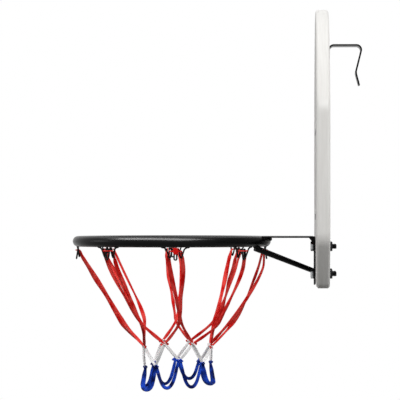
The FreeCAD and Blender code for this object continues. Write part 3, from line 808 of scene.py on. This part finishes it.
# Stops that are the same at each place: widths and thicknesses in millimetres, and folds
RED_HALF_THICKNESSES = [(0, 2.0), (0.05, 1.4), (0.09, 1.7), (0.18, 1.3), (0.4, 1.3), (0.455, 1.9)]
RED_THICKNESSES = RED_HALF_THICKNESSES + [(0.5, 1.4)] + from_the_end(RED_HALF_THICKNESSES)
LINK_WIDTHS = [(0, 2.8), (0.3, 3.7), (0.7, 3.7), (1, 2.8)]
LINK_THICKNESSES = [(0, 1.8), (0.3, 1.3), (0.7, 1.3), (1, 1.8)]
LINK_FOLDS = [(0, 0.3), (0.5, 0.1), (1, 0.3)]
HEM_THICKNESSES = [(0, 2.0), (0.2, 1.5), (0.8, 1.5), (1, 2.0)]
HEM_FOLDS = [(0, 0.2), (0.3, 0.5), (0.6, -0.4), (1, 0.2)]

# A hem loop's widths in millimetres: at its knots, at the two sides of the photograph and elsewhere; near its
# ends it has a share of the last two
HEM_KNOT_WIDTH, SIDE_HEM_WIDTH, HEM_WIDTH, HEM_END_SHARE = 3.0, 6.2, 4.6, 0.88

# Steps of a smooth line from one point of its route to the next
RED_CLOSENESS, LINK_CLOSENESS, HEM_CLOSENESS, TAIL_CLOSENESS = 14, 10, 10, 6


def red_loop(place):
    """A red loop's tape, pinched and folded a little by chance on each leg."""
    first_pinch, second_pinch = [chance.uniform(*PINCH_WIDTHS) for _ in range(2)]
    folds = [chance.uniform(-reach, reach) for reach in FOLD_REACHES]
    return tape("red", route_line(red_route(place), RED_CLOSENESS),
                widths=red_widths(place, first_pinch) + from_the_end(red_widths(place, second_pinch)),
                thicknesses=RED_THICKNESSES,
                rolls=red_rolls(place, 1) + from_the_end(red_rolls(place, -1)),
                folds=red_folds(folds[0], folds[1]) + from_the_end(red_folds(folds[3], folds[2])))


def white_links(place):
    """The two links below an upper knot, as one piece, each twisted a little by chance."""
    links = []
    for route in white_routes(place):
        twist = chance.uniform(-LINK_TWIST, LINK_TWIST)
        spot = route[1]
        facing = half_turn(math.pi / 2 - math.atan2(spot.x, spot.y - RING_Y - NET_LEAN))
        if route[0].x - route[2].x > LINK_AWAY:
            facing += LINK_EDGE_TURN
        rolls = [(0, facing + twist), (1, facing - twist)]
        links.append(tape("white", route_line(route, LINK_CLOSENESS), LINK_WIDTHS, LINK_THICKNESSES, rolls,
                          LINK_FOLDS))
    return joined(links)


def blue_loop(place):
    """A hem loop's tape, flat to the photograph's side on its way down and up, but for some chance."""
    down = half_turn(math.pi / 2 - place * PITCH - NET_TURN) + chance.uniform(-HEM_TWIST, HEM_TWIST)
    up = half_turn((place + 1) * PITCH + NET_TURN - math.pi / 2) + chance.uniform(-HEM_TWIST, HEM_TWIST)
    wide = SIDE_HEM_WIDTH if place in SIDE_LOOPS else HEM_WIDTH
    near_end = wide * HEM_END_SHARE
    widths = [(0, HEM_KNOT_WIDTH), (0.15, near_end), (0.5, wide), (0.85, near_end), (1, HEM_KNOT_WIDTH)]
    rolls = [(0, down), (0.25, down), (0.75, up), (1, up)]
    return tape("blue", route_line(blue_route(place), HEM_CLOSENESS), widths, HEM_THICKNESSES, rolls,
                HEM_FOLDS)


chance = random.Random(7)
for place in range(HOOKS):
    own(red_loop(place), f"red_loop_{place + 1}", red_tape, "red_cord", f"net_red_cord_{place + 1}")
    own(white_links(place), f"white_links_{place + 1}", white_tape, "white_cord",
        f"net_white_cord_{place + 1}")
    own(blue_loop(place), f"blue_loop_{place + 1}", blue_tape, "blue_cord", f"net_blue_cord_{place + 1}")


# Knots: one overhand knot, drawn up tight, then copies, each with two tails
KNOT_POINTS = 72
KNOT_SIZE = 0.85 * MM
KNOT_DEPTH_SHARE = 0.8
KNOT_HEIGHT_SHARE = 1.3
KNOT_TAPE_WIDTH = 2.2
KNOT_TAPE_THICKNESS = 1.3
TAIL_RISE = 0.6 * MM
TAIL_MIDDLE_SHARE = 0.6
TAIL_WIDTHS = [(0, 2.0), (0.7, 3.0), (1, 3.2)]
TAIL_THICKNESSES = [(0, 1.6), (1, 1.2)]
TAIL_FOLDS = [(0, 0), (1, 0.3)]
TAIL_START_ROLL = 0.3

# What chance may do to a knot and its tails: turns, tilts and twists in radians, lengths in millimetres
KNOT_TURN = 0.5
KNOT_TILT = 0.3
TAIL_REACHES = (4.0, 5.6)
TAIL_SAGS = (0.5, 2.5)
TAIL_TWIST = 0.8


def tied_knot():
    """One overhand knot of tape about the origin, along a trefoil."""
    line = []
    for step in range(KNOT_POINTS):
        t = 2 * math.pi * step / (KNOT_POINTS - 1)
        x = (math.sin(t) + 2 * math.sin(2 * t)) * KNOT_SIZE
        y = (math.cos(t) - 2 * math.cos(2 * t)) * KNOT_SIZE * KNOT_DEPTH_SHARE
        z = -math.sin(3 * t) * KNOT_SIZE * KNOT_HEIGHT_SHARE
        line.append(Vector((x, NET_MIDDLE_Y + y, z)))
    level = [(0, 0), (1, 0)]
    knot = tape("knot", line, [(0, KNOT_TAPE_WIDTH), (1, KNOT_TAPE_WIDTH)],
                [(0, KNOT_TAPE_THICKNESS), (1, KNOT_TAPE_THICKNESS)], level, level)
    knot.data.transform(Matrix.Translation((0, -NET_MIDDLE_Y, 0)))
    return knot


def knot_at(spot, turns):
    """A copy of the knot, turned to its place round the net, a little unlike its neighbours."""
    angle = turns * PITCH + NET_TURN + chance.uniform(-KNOT_TURN, KNOT_TURN)
    upright = Matrix.Rotation(math.pi / 2 + chance.uniform(-KNOT_TILT, KNOT_TILT), 4, "X")
    return copied(first_knot, Matrix.Translation(spot) @ Matrix.Rotation(-angle, 4, "Z") @ upright)


def tails_at(spot, turns):
    """The two short ends that stick out of a knot."""
    angle = turns * PITCH + NET_TURN
    sideways = Vector((math.cos(angle), -math.sin(angle), 0))
    tails = []
    for side in (-1, 1):
        reach = sideways * side * chance.uniform(*TAIL_REACHES) * MM
        sag = chance.uniform(*TAIL_SAGS) * MM
        middle = spot + reach * TAIL_MIDDLE_SHARE + Vector((0, 0, TAIL_RISE))
        end = spot + reach - Vector((0, 0, sag))
        line = route_line([spot, middle, end], TAIL_CLOSENESS)
        rolls = [(0, TAIL_START_ROLL), (1, chance.uniform(-TAIL_TWIST, TAIL_TWIST))]
        tails.append(tape("tail", line, TAIL_WIDTHS, TAIL_THICKNESSES, rolls, TAIL_FOLDS))
    return tails


first_knot = tied_knot()
upper_knots, lower_knots, red_tails, blue_tails = [], [], [], []
for place in range(HOOKS):
    upper, lower = (upper_knot(place), place + 0.5), (lower_knot(place), place)
    upper_knots.append(knot_at(*upper))
    red_tails += tails_at(*upper)
    lower_knots.append(knot_at(*lower))
    blue_tails += tails_at(*lower)
bpy.data.objects.remove(first_knot)
own(joined(upper_knots), "white_knots", white_tape, "white_cord", "net_upper_knots")
own(joined(lower_knots), "blue_knots", blue_tape, "blue_cord", "net_lower_knots")
own(joined(red_tails), "red_tails", red_tape, "red_cord")
own(joined(blue_tails), "blue_tails", blue_tape, "blue_cord")


def seen_directly(tree):
    """1 on camera, glossy and transmission rays, and 0 on the rays that carry light to the object."""
    path = node(tree, "ShaderNodeLightPath")
    seen = path.outputs["Is Camera Ray"]
    for kind in ("Is Glossy Ray", "Is Transmission Ray"):
        either = node(tree, "ShaderNodeMath", {0: seen, 1: path.outputs[kind]}, operation="MAXIMUM")
        seen = either.outputs["Value"]
    return seen


def pale_floor():
    """Pale where it is seen, going over into the white background far from the object.

    In the light that it throws back up it is darker, as a floor two metres below a door's top would be.
    """
    fade_start, fade_end = 0.6, 3.0
    material, tree, shader = new_material("pale_floor")
    seen = seen_directly(tree)
    tone = node(tree, "ShaderNodeMix", {"Factor": seen, "A": linear("#444443"), "B": linear("#F4F4F2")},
                data_type="RGBA")
    place = node(tree, "ShaderNodeTexCoord").outputs["Object"]
    distance = node(tree, "ShaderNodeVectorMath", {0: place}, operation="LENGTH")
    far = node(tree, "ShaderNodeMapRange", {"Value": distance.outputs["Value"], "From Min": fade_start,
                                            "From Max": fade_end}, interpolation_type="SMOOTHSTEP")
    far_seen = node(tree, "ShaderNodeMath", {0: far.outputs["Result"], 1: seen}, operation="MULTIPLY")
    glow = far_seen.outputs["Value"]
    kept = node(tree, "ShaderNodeMix", {"Factor": glow, "A": tone.outputs["Result"], "B": linear("#000000")},
                data_type="RGBA")
    finish_surface(tree, shader, Base_Color=kept.outputs["Result"], Roughness=0.7,
                   Emission_Color=linear("#FFFFFF"), Emission_Strength=glow)
    return material


# Stage: floor, world, lamps and camera, in metres and watts
FLOOR_SIZE = 7
FLOOR_MIDDLE = (0, -0.2, -0.9)
bpy.ops.mesh.primitive_plane_add(size=FLOOR_SIZE, location=FLOOR_MIDDLE)
floor = bpy.context.object
floor.name = "floor"
floor.data.materials.append(pale_floor())

# The world is white where it is seen. Its own light is weak, and weaker from below
world = bpy.data.worlds.new("studio")
bpy.context.scene.world = world
world.use_nodes = True
sky = world.node_tree
sky.nodes.clear()
height = node(sky, "ShaderNodeSeparateXYZ", {"Vector": node(sky, "ShaderNodeTexCoord").outputs["Generated"]})
ambient = node(sky, "ShaderNodeMapRange", {"Value": height.outputs["Z"], "From Min": -0.1, "From Max": 0.3,
                                           "To Min": 0.04, "To Max": 0.5})
strength = node(sky, "ShaderNodeMix", {"Factor": seen_directly(sky), "A": ambient.outputs["Result"],
                                       "B": 1.0})
backdrop = node(sky, "ShaderNodeBackground", {"Color": linear("#FFFFFF"),
                                              "Strength": strength.outputs["Result"]})
node(sky, "ShaderNodeOutputWorld", {"Surface": backdrop.outputs["Background"]})


def soft_lamp(name, place, aim, size, power):
    """A square area lamp that the camera doesn't see."""
    lamp = bpy.data.lights.new(name, "AREA")
    lamp.shape = "SQUARE"
    lamp.size = size
    lamp.energy = power
    holder = bpy.data.objects.new(name, lamp)
    holder.location = place
    holder.rotation_euler = (Vector(aim) - Vector(place)).to_track_quat("-Z", "Y").to_euler()
    holder.visible_camera = False
    bpy.context.scene.collection.objects.link(holder)
    return holder


OBJECT_MIDDLE = (0, -0.2, -0.2)
BOARD_MIDDLE = (0, -0.2, -0.15)
RING_NEAR_SIDE = (0.1, -0.2, -0.24)
soft_lamp("key_lamp", (1.95, 0.2, 1.2), OBJECT_MIDDLE, size=0.7, power=31.5)
soft_lamp("front_lamp", (0.1, -2.4, 0.2), BOARD_MIDDLE, size=0.9, power=10)
soft_lamp("back_lamp", (0.1, 2.3, 0.2), BOARD_MIDDLE, size=0.9, power=9)
soft_lamp("far_lamp", (-0.8, -0.7, 1.6), OBJECT_MIDDLE, size=0.9, power=7)

# A long strip high over the ring's near side, which the tube alone mirrors as one soft highlight
strip_lamp = soft_lamp("strip_lamp", (0.73, -0.5, 1.66), RING_NEAR_SIDE, size=2.8, power=540)
strip_lamp.data.shape = "RECTANGLE"
strip_lamp.data.size_y = 1.1
strip_lamp.visible_diffuse = False
ring_alone = bpy.data.collections.new("ring_alone")
ring_alone.objects.link(ring)
strip_lamp.light_linking.receiver_collection = ring_alone

EYE = Vector((3.250, -0.0586, -0.2103))
AIM = Vector((0, -0.181, -0.1915))
camera = bpy.data.cameras.new("camera")
camera.sensor_width = 36
camera.lens = 234.2
camera.clip_end = 30
eye = bpy.data.objects.new("camera", camera)
eye.location = EYE
eye.rotation_euler = (AIM - EYE).to_track_quat("-Z", "Y").to_euler()
bpy.context.scene.collection.objects.link(eye)
bpy.context.scene.camera = eye
bpy.context.scene.view_settings.view_transform = "Standard"
